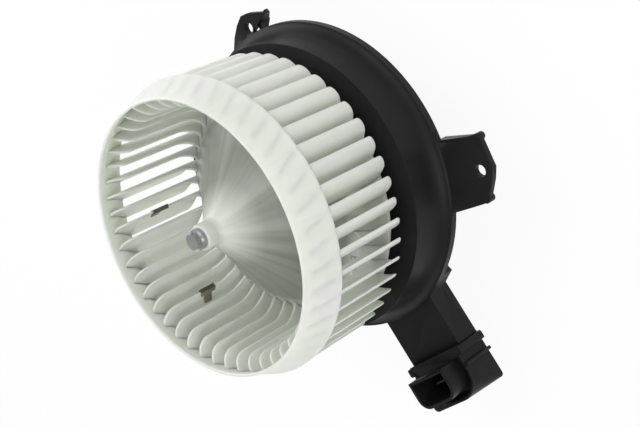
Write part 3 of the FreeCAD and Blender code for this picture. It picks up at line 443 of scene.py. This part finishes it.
class Blade:
    """The rule that every blade of the wheel follows."""

    def __init__(self, w):
        self.w = w
        root, tip = math.sin(w.root_lean), math.sin(w.tip_lean)
        spread = w.tip_radius**2 - w.inner_radius**2
        self.radius = spread / (2 * (w.tip_radius * tip - w.inner_radius * root))
        self.centre = (w.inner_radius - self.radius * root, self.radius * math.cos(w.root_lean))
        self.slope = (w.apex - w.hub_front) / (w.hub_radius - w.boss_radius)
        self.foot_low = self.cone(w.inner_radius - w.foot) - w.hub_wall * ROOT_DEPTH

    def point(self, distance, offset):
        """Where the blade's face, offset from its mid-line, crosses a circle round the motor axis."""
        radius, span = self.radius + offset, math.hypot(*self.centre)
        turn = math.acos((distance**2 + span**2 - radius**2) / (2 * distance * span))
        angle = math.atan2(self.centre[1], self.centre[0]) - turn
        return distance * math.cos(angle), distance * math.sin(angle)

    def tip_angle(self):
        x, y = self.point(self.w.tip_radius, 0.0)
        return math.atan2(y, x)

    def ring(self, z, inset):
        """Radius of the ring's outside at a height, moved inwards by the inset."""
        w = self.w
        along = max(z - w.shoulder, 0.0) / (w.lip - w.shoulder)
        return w.ring_radius - inset - along * w.ring_inset - 4 * along * (1 - along) * w.ring_hollow

    def cone(self, radius):
        """Height of the hub's hollow cone at a radius."""
        w = self.w
        inward = (w.hub_radius - radius) / (w.hub_radius - w.boss_radius)
        hollow = 4 * inward * (1 - inward) * w.hub_hollow * math.sqrt(1 + self.slope**2)
        return w.apex - (radius - w.boss_radius) * self.slope - hollow

    def cone_radius(self, z):
        """Radius of the hub's cone at a height."""
        w = self.w
        radius = w.hub_radius
        for _ in range(8):
            radius += (self.cone(radius) - z) / self.slope
        return min(max(radius, w.boss_radius), w.hub_radius)

    def outer(self, z):
        """Radius of the blade's outer edge at a height."""
        w = self.w
        if z < w.rear + w.corner:
            drop = w.rear + w.corner - z
            return w.tip_radius - w.corner + math.sqrt(max(w.corner**2 - drop**2, 0.0))
        if z < w.ring_rear + RING_OVERLAP:
            return w.tip_radius
        return self.ring(z, w.ring_wall / 2)

    def inner(self, z):
        """Radius of the blade's inner edge at a height."""
        w = self.w
        foot_centre = w.inner_radius - w.foot
        if z < self.foot_low:
            return min(max(self.cone_radius(z + w.hub_wall * ROOT_DEPTH), foot_centre), w.hub_radius - 0.001)
        if z < self.foot_low + w.foot:
            rise = self.foot_low + w.foot - z
            return foot_centre + math.sqrt(max(w.foot**2 - rise**2, 0.0))
        if z > w.flare_start:
            run = self.ring(w.flare_start + w.flare, w.ring_wall / 2) - w.inner_radius
            rise = min((z - w.flare_start) / w.flare, 1.0)
            return w.inner_radius + run * (1 - math.sqrt(1 - rise**2))
        return w.inner_radius

    def heights(self):
        """Heights of the mesh rows, close together where the edges curve."""
        w = self.w
        rows = [w.rear + w.corner * (1 - math.cos(math.radians(5 + 85 * n / 7))) for n in range(8)]
        rows += [self.foot_low + w.foot * (1 - math.cos(math.radians(90 * n / 6))) for n in range(7)]
        rows += [w.rear + 0.6 * MM, self.foot_low + w.foot + 0.1 * MM]
        rows += [w.ring_rear + RING_OVERLAP - 0.01 * MM, w.ring_rear + RING_OVERLAP + 0.01 * MM]
        rows += [w.flare_start + w.flare * math.sin(math.radians(78 * n / 8)) for n in range(9)]
        rows += [0.040 + 0.0055 * n for n in range(6)]
        return sorted(set(round(z, 6) for z in rows))

    def mesh(self):
        """Points and faces of one blade whose inner edge stands on +X."""
        half, points, faces = self.w.thickness / 2, [], []
        rows = self.heights()
        ends = (0.0, 0.12, 0.45, 1.0)
        for row, z in enumerate(rows):
            inner, outer = self.inner(z), self.outer(z)
            inner = min(inner, outer - 4 * half)
            low = (inner + e * half for e in ends)
            high = (outer - e * half for e in reversed(ends))
            span = outer - inner - 2 * half
            middle = (inner + half + span * n / 7 for n in range(1, 7))
            distances = list(low) + list(middle) + list(high)
            thin = 0.45 if row == 0 else (0.85 if row == 1 else 1.0)
            side = [self.round_off(d, inner, outer, half) * thin for d in distances]
            points += [(*self.point(d, s), z) for d, s in zip(distances, side)]
            points += [(*self.point(d, -s), z) for d, s in reversed(list(zip(distances, side))[1:-1])]
        count = len(points) // len(rows)
        for row in range(len(rows) - 1):
            for k in range(count):
                after = (k + 1) % count
                here, above = row * count, (row + 1) * count
                faces.append((here + k, here + after, above + after, above + k))
        faces.append(tuple(reversed(range(count))))
        faces.append(tuple(range(len(points) - count, len(points))))
        return points, faces

    def round_off(self, distance, inner, outer, half):
        """Half thickness of the blade, falling to nothing at its rounded edges."""
        edge = min(distance - inner, outer - distance)
        if edge >= half:
            return half
        return math.sqrt(max(half**2 - (half - edge) ** 2, 0.0))


def ring_profile(w, blade):
    """Outline of the inlet ring, with its lip and rear edge rounded."""
    half = w.ring_wall / 2
    rise = w.lip - half - w.shoulder
    flare = [w.shoulder + rise * n / 16 for n in range(17)]
    profile = [(blade.ring(z, 0.0), z) for z in flare]
    profile += arc((blade.ring(w.lip - half, half), w.lip - half), half, 15.0, 165.0, 6)
    profile += [(blade.ring(z, w.ring_wall), z) for z in reversed(flare)]
    profile += arc((w.ring_radius - half, w.ring_rear + half), half, 180.0, 360.0, 6)
    return profile


def hub_profile(w, blade):
    """Outline of the cone and its boss."""
    angle = math.atan(blade.slope)
    near_angle = angle + 4 * w.hub_hollow * math.cos(angle) / (w.hub_radius - w.boss_radius)
    blend = w.boss_blend * math.tan((math.pi / 2 - near_angle) / 2)
    centre = (w.boss_radius + w.boss_blend, w.apex + blend)
    drop = w.hub_wall / math.cos(angle)
    foot = w.hub_radius - (drop - w.hub_edge) / blade.slope
    rounding = 0.0006
    steps = 14
    profile = [(w.bore, w.boss_foot), (w.boss_radius, w.boss_foot)]
    for n in range(steps):
        radius = w.boss_radius + (foot - w.boss_radius) * n / steps
        profile.append((radius, blade.cone(radius) - drop))
    profile.append((foot, w.hub_front - w.hub_edge))
    profile += arc((w.hub_radius - rounding, w.hub_front - w.hub_edge + rounding), rounding, -90.0, 0.0, 3)
    profile += arc((w.hub_radius - rounding, w.hub_front - rounding), rounding, 0.0, 50.0, 3)
    start = 180.0 + math.degrees(math.pi / 2 - near_angle)
    near = arc(centre, w.boss_blend, start, 180.0, 12)
    for n in range(1, steps):
        radius = w.hub_radius - rounding + (near[0][0] - w.hub_radius + rounding) * n / steps
        profile.append((radius, blade.cone(radius)))
    profile += near
    profile += arc((w.boss_radius - rounding, w.boss_top - rounding), rounding, 0.0, 90.0, 3)
    profile.append((w.bore, w.boss_top))
    return profile


def around_tree(name):
    """A geometry tree that repeats its geometry evenly round Z and joins it to what it carries."""
    tree = bpy.data.node_groups.new(name, "GeometryNodeTree")
    sockets = {}
    for label, kind in (
        ("Geometry", "NodeSocketGeometry"),
        ("Count", "NodeSocketInt"),
        ("Start", "NodeSocketFloat"),
        ("Carrier", "NodeSocketObject"),
        ("Finish", "NodeSocketMaterial"),
    ):
        sockets[label] = tree.interface.new_socket(label, in_out="INPUT", socket_type=kind).identifier
    tree.interface.new_socket("Geometry", in_out="OUTPUT", socket_type="NodeSocketGeometry")
    new, link = tree.nodes.new, tree.links.new
    given, result = new("NodeGroupInput"), new("NodeGroupOutput")
    points, index = new("GeometryNodePoints"), new("GeometryNodeInputIndex")
    link(given.outputs["Count"], points.inputs["Count"])
    step = new("ShaderNodeMath")
    step.operation = "DIVIDE"
    step.inputs[0].default_value = TAU
    link(given.outputs["Count"], step.inputs[1])
    turn = new("ShaderNodeMath")
    turn.operation = "MULTIPLY_ADD"
    link(index.outputs[0], turn.inputs[0])
    link(step.outputs[0], turn.inputs[1])
    link(given.outputs["Start"], turn.inputs[2])
    rotation = new("ShaderNodeCombineXYZ")
    link(turn.outputs[0], rotation.inputs["Z"])
    copies = new("GeometryNodeInstanceOnPoints")
    link(points.outputs[0], copies.inputs["Points"])
    link(given.outputs["Geometry"], copies.inputs["Instance"])
    link(rotation.outputs[0], copies.inputs["Rotation"])
    carrier = new("GeometryNodeObjectInfo")
    link(given.outputs["Carrier"], carrier.inputs["Object"])
    both = new("GeometryNodeJoinGeometry")
    link(carrier.outputs["Geometry"], both.inputs[0])
    link(copies.outputs[0], both.inputs[0])
    real, finish = new("GeometryNodeRealizeInstances"), new("GeometryNodeSetMaterial")
    link(both.outputs[0], real.inputs[0])
    link(real.outputs[0], finish.inputs["Geometry"])
    link(given.outputs["Finish"], finish.inputs["Material"])
    link(finish.outputs[0], result.inputs[0])
    return tree, sockets


def repeated(piece, count, start, carrier, material):
    """Repeats a piece round Z on top of its carrier, which is then taken away."""
    tree, sockets = around_tree(piece.name + "_round")
    modifier = piece.modifiers.new("Around", "NODES")
    modifier.node_group = tree
    modifier[sockets["Count"]] = count
    modifier[sockets["Start"]] = start
    if carrier:
        modifier[sockets["Carrier"]] = carrier
    modifier[sockets["Finish"]] = material


def smoothed(mesh, angle=32.0):
    """Smooth shading with edges sharper than an angle kept sharp."""
    mesh.shade_smooth()
    mesh.set_sharp_from_angle(angle=math.radians(angle))


class BLOWER_OT_wheel(bpy.types.Operator):
    """Builds the milky blower wheel with all its blades"""

    bl_idname = "blower.wheel"
    bl_label = "Blower Wheel"

    def execute(self, context):
        w = context.scene.blower_wheel
        blade = Blade(w)
        segments = w.blades * 4
        parts = [turned_mesh(ring_profile(w, blade), segments), turned_mesh(hub_profile(w, blade), segments)]
        points, faces = [], []
        for part_points, part_faces in parts:
            base = len(points)
            points += part_points
            faces += [tuple(base + k for k in face) for face in part_faces]
        carrier = new_piece("wheel_carrier", points, faces)
        smoothed(carrier.data)
        piece = new_piece("wheel", *blade.mesh())
        smoothed(piece.data, 50.0)
        material = frame["nodes"]["blower_wheel"].data.materials[0]
        piece.data.materials.append(material)
        repeated(piece, w.blades, w.first_blade - blade.tip_angle(), carrier, material)
        settle(piece, "rotor", ["blower_wheel"])
        bpy.data.objects.remove(carrier)
        return {"FINISHED"}


def screw_mesh(w, reach, low, high):
    """Points and faces of a screw whose head looks down, standing at a distance from the motor axis."""
    head, face = w.head_radius, low
    rows = [
        (w.drive_radius * 0.9, face + w.drive_depth, 0.14),
        (w.drive_radius, face + 0.0001, 0.12),
        (w.drive_radius * 1.12, face, 0.08),
        (head * 0.8, face + 0.00005, 0.0),
        (head * 0.95, face + 0.0004, 0.0),
        (head, face + 0.0010, 0.0),
        (head, face + w.head_height, 0.0),
        (w.shank_radius, face + w.head_height, 0.0),
        (w.shank_radius, high - 0.0012, 0.0),
        (w.shank_radius * 0.55, high, 0.0),
    ]
    points, faces, segments = [], [], 36
    for radius, z, lobe in rows:
        for n in range(segments):
            angle = TAU * n / segments
            span = radius * (1 + lobe * math.cos(6 * angle))
            points.append((reach + span * math.cos(angle), span * math.sin(angle), z))
    for row in range(len(rows) - 1):
        for n in range(segments):
            here, after = row * segments + n, row * segments + (n + 1) % segments
            faces.append((here, here + segments, after + segments, after))
    faces.append(tuple(range(segments)))
    faces.append(tuple(reversed(range(len(points) - segments, len(points)))))
    return points, faces


class BLOWER_OT_screws(bpy.types.Operator):
    """Builds the rear cover's screws"""

    bl_idname = "blower.screws"
    bl_label = "Cover Screws"

    def execute(self, context):
        w = context.scene.blower_screws
        low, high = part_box("rear_cover_screws")
        reach = (high[1] - w.head_radius) / math.sin(w.first)
        piece = new_piece("cover_screws", *screw_mesh(w, reach, low[2], high[2]))
        smoothed(piece.data, 40.0)
        material = frame["nodes"]["rear_cover_screws"].data.materials[0]
        piece.data.materials.append(material)
        repeated(piece, w.count, w.first, None, material)
        settle(piece, "housing", ["rear_cover_screws"])
        return {"FINISHED"}


class BLOWER_OT_finishes(bpy.types.Operator):
    """Gives every carried-over part of the frame its finish"""

    bl_idname = "blower.finishes"
    bl_label = "Finishes"

    def execute(self, context):
        slots = finishes(context.scene.blower_finish)
        for entry in frame["record"]["subparts"]:
            node = frame["nodes"][entry["node"]]
            node.data.materials.clear()
            node.data.materials.append(slots[entry["material_slot"]])
        return {"FINISHED"}


def flatten_tip(work, dome=0.0024, kept=0.3):
    """Draws the shaft's domed end out to the nearly flat, broken edge of a cut shaft."""
    tip = max(vert.co.z for vert in work.verts)
    for vert in work.verts:
        if vert.co.z > tip - dome - 0.00001:
            vert.co.z = tip - (tip - vert.co.z) * kept


def smooth_copy(node, angle):
    """Stands in for a CAD part with the same surface, merged and shaded smooth, and with its finish."""
    mesh = bpy.data.meshes.new(node.name + "_surface")
    work = bmesh.new()
    work.from_mesh(node.data)
    bmesh.ops.remove_doubles(work, verts=work.verts, dist=0.000002)
    if node.name == "motor_shaft":
        flatten_tip(work)
    work.to_mesh(mesh)
    work.free()
    smoothed(mesh, angle)
    mesh.materials.clear()
    mesh.materials.append(node.data.materials[0])
    piece = bpy.data.objects.new(node.name + "_surface", mesh)
    bpy.context.scene.collection.objects.link(piece)
    weighted = piece.modifiers.new("Flat faces stay flat", "WEIGHTED_NORMAL")
    weighted.keep_sharp = True
    return piece


class BLOWER_OT_surfaces(bpy.types.Operator):
    """Gives the outer CAD parts smooth surfaces"""

    bl_idname = "blower.surfaces"
    bl_label = "Smooth Surfaces"

    def execute(self, context):
        for body, names in SMOOTH_PARTS.items():
            for name in names:
                settle(smooth_copy(frame["nodes"][name], SMOOTH_ANGLE), body, [name])
        return {"FINISHED"}


class BLOWER_OT_springs(bpy.types.Operator):
    """Builds the brush springs as smooth copies of their parts, each with a mesh of its own; on the motor
    they shorten as their brushes slide back.
    """

    bl_idname = "blower.springs"
    bl_label = "Brush Springs"

    def execute(self, context):
        for side in ("left", "right"):
            name = f"brush_spring_{side}"
            piece = settle(smooth_copy(frame["nodes"][name], COIL_ANGLE), "housing", [name])
            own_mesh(piece)
        return {"FINISHED"}


class BLOWER_OT_stage(bpy.types.Operator):
    """Lays the floor and sets up the light and the camera"""

    bl_idname = "blower.stage"
    bl_label = "Stage"

    def execute(self, context):
        stage = context.scene.blower_stage
        self.floor(context, stage)
        self.light(context)
        self.camera(context, stage)
        context.scene.view_settings.view_transform = "Standard"
        return {"FINISHED"}

    def floor(self, context, stage):
        half, z = stage.floor_size / 2, cad_bounds[0].z
        corners = [(-half, -half, z), (half, -half, z), (half, half, z), (-half, half, z)]
        floor = new_piece("floor", corners, [(0, 1, 2, 3)])
        shader = Shader("floor_paint")
        seen = self.seen(shader)
        paint = shader.node("ShaderNodeBsdfDiffuse", None, {"Color": (*stage.floor, 1.0)})
        glow = shader.node("ShaderNodeEmission", None, {"Color": (1.0, 1.0, 1.0, 1.0), "Strength": 1.0})
        mixed = shader.node("ShaderNodeMixShader", None, {0: seen * FLOOR_GLOW, 1: paint, 2: glow})
        shader.node("ShaderNodeOutputMaterial", None, {"Surface": mixed})
        floor.data.materials.append(shader.material)

    def seen(self, shader):
        """1 for rays that see the background directly, in gloss or through glass."""
        paths = [
            shader.node("ShaderNodeLightPath", output=name)
            for name in ("Is Camera Ray", "Is Glossy Ray", "Is Transmission Ray")
        ]
        return paths[0].maths("MAXIMUM", paths[1]).maths("MAXIMUM", paths[2])

    def light(self, context):
        world = bpy.data.worlds.new("studio")
        context.scene.world = world
        world.use_nodes = True
        tree = world.node_tree
        tree.nodes.clear()
        paths = tree.nodes.new("ShaderNodeLightPath")
        level = tree.nodes.new("ShaderNodeMapRange")
        level.inputs["To Min"].default_value = WORLD_LIGHT
        level.inputs["To Max"].default_value = 1.0
        tree.links.new(paths.outputs["Is Camera Ray"], level.inputs["Value"])
        background = tree.nodes.new("ShaderNodeBackground")
        background.inputs["Color"].default_value = (1.0, 1.0, 1.0, 1.0)
        output = tree.nodes.new("ShaderNodeOutputWorld")
        tree.links.new(level.outputs[0], background.inputs["Strength"])
        tree.links.new(background.outputs[0], output.inputs["Surface"])
        for name, place, watts, size in LAMPS:
            data = bpy.data.lights.new(name, "AREA")
            data.energy = watts
            data.size = size
            lamp = bpy.data.objects.new(name, data)
            lamp.location = place
            aim = Vector((0.0, 0.0, 0.03)) - Vector(place)
            lamp.rotation_euler = aim.to_track_quat("-Z", "Y").to_euler()
            context.scene.collection.objects.link(lamp)

    def camera(self, context, stage):
        data = bpy.data.cameras.new("camera")
        data.lens = stage.lens
        data.sensor_width = 36.0
        camera = bpy.data.objects.new("camera", data)
        camera.location = stage.camera_place
        camera.rotation_euler = [math.radians(angle) for angle in stage.camera_turn]
        context.scene.collection.objects.link(camera)
        context.scene.camera = camera


class BLOWER_PT_panel(bpy.types.Panel):
    """Lists the blower's build steps"""

    bl_label = "Cabin Blower Motor"
    bl_idname = "BLOWER_PT_panel"
    bl_space_type = "VIEW_3D"
    bl_region_type = "UI"
    bl_category = "Blower"

    def draw(self, context):
        for operator in OPERATORS:
            self.layout.operator(operator.bl_idname)


GROUPS = {
    "blower_wheel": WheelSettings,
    "blower_screws": ScrewSettings,
    "blower_finish": FinishSettings,
    "blower_stage": StageSettings,
}
OPERATORS = (
    BLOWER_OT_finishes,
    BLOWER_OT_wheel,
    BLOWER_OT_screws,
    BLOWER_OT_surfaces,
    BLOWER_OT_springs,
    BLOWER_OT_stage,
)


def register():
    for group in (*GROUPS.values(), *OPERATORS, BLOWER_PT_panel):
        bpy.utils.register_class(group)
    for name, group in GROUPS.items():
        setattr(bpy.types.Scene, name, PointerProperty(type=group))


def unregister():
    for name in GROUPS:
        delattr(bpy.types.Scene, name)
    for group in (BLOWER_PT_panel, *OPERATORS, *GROUPS.values()):
        bpy.utils.unregister_class(group)


def main():
    register()
    bpy.ops.blower.finishes()
    bpy.ops.blower.wheel()
    bpy.ops.blower.screws()
    bpy.ops.blower.surfaces()
    bpy.ops.blower.springs()
    bpy.ops.blower.stage()


if __name__ == "__main__":
    main()
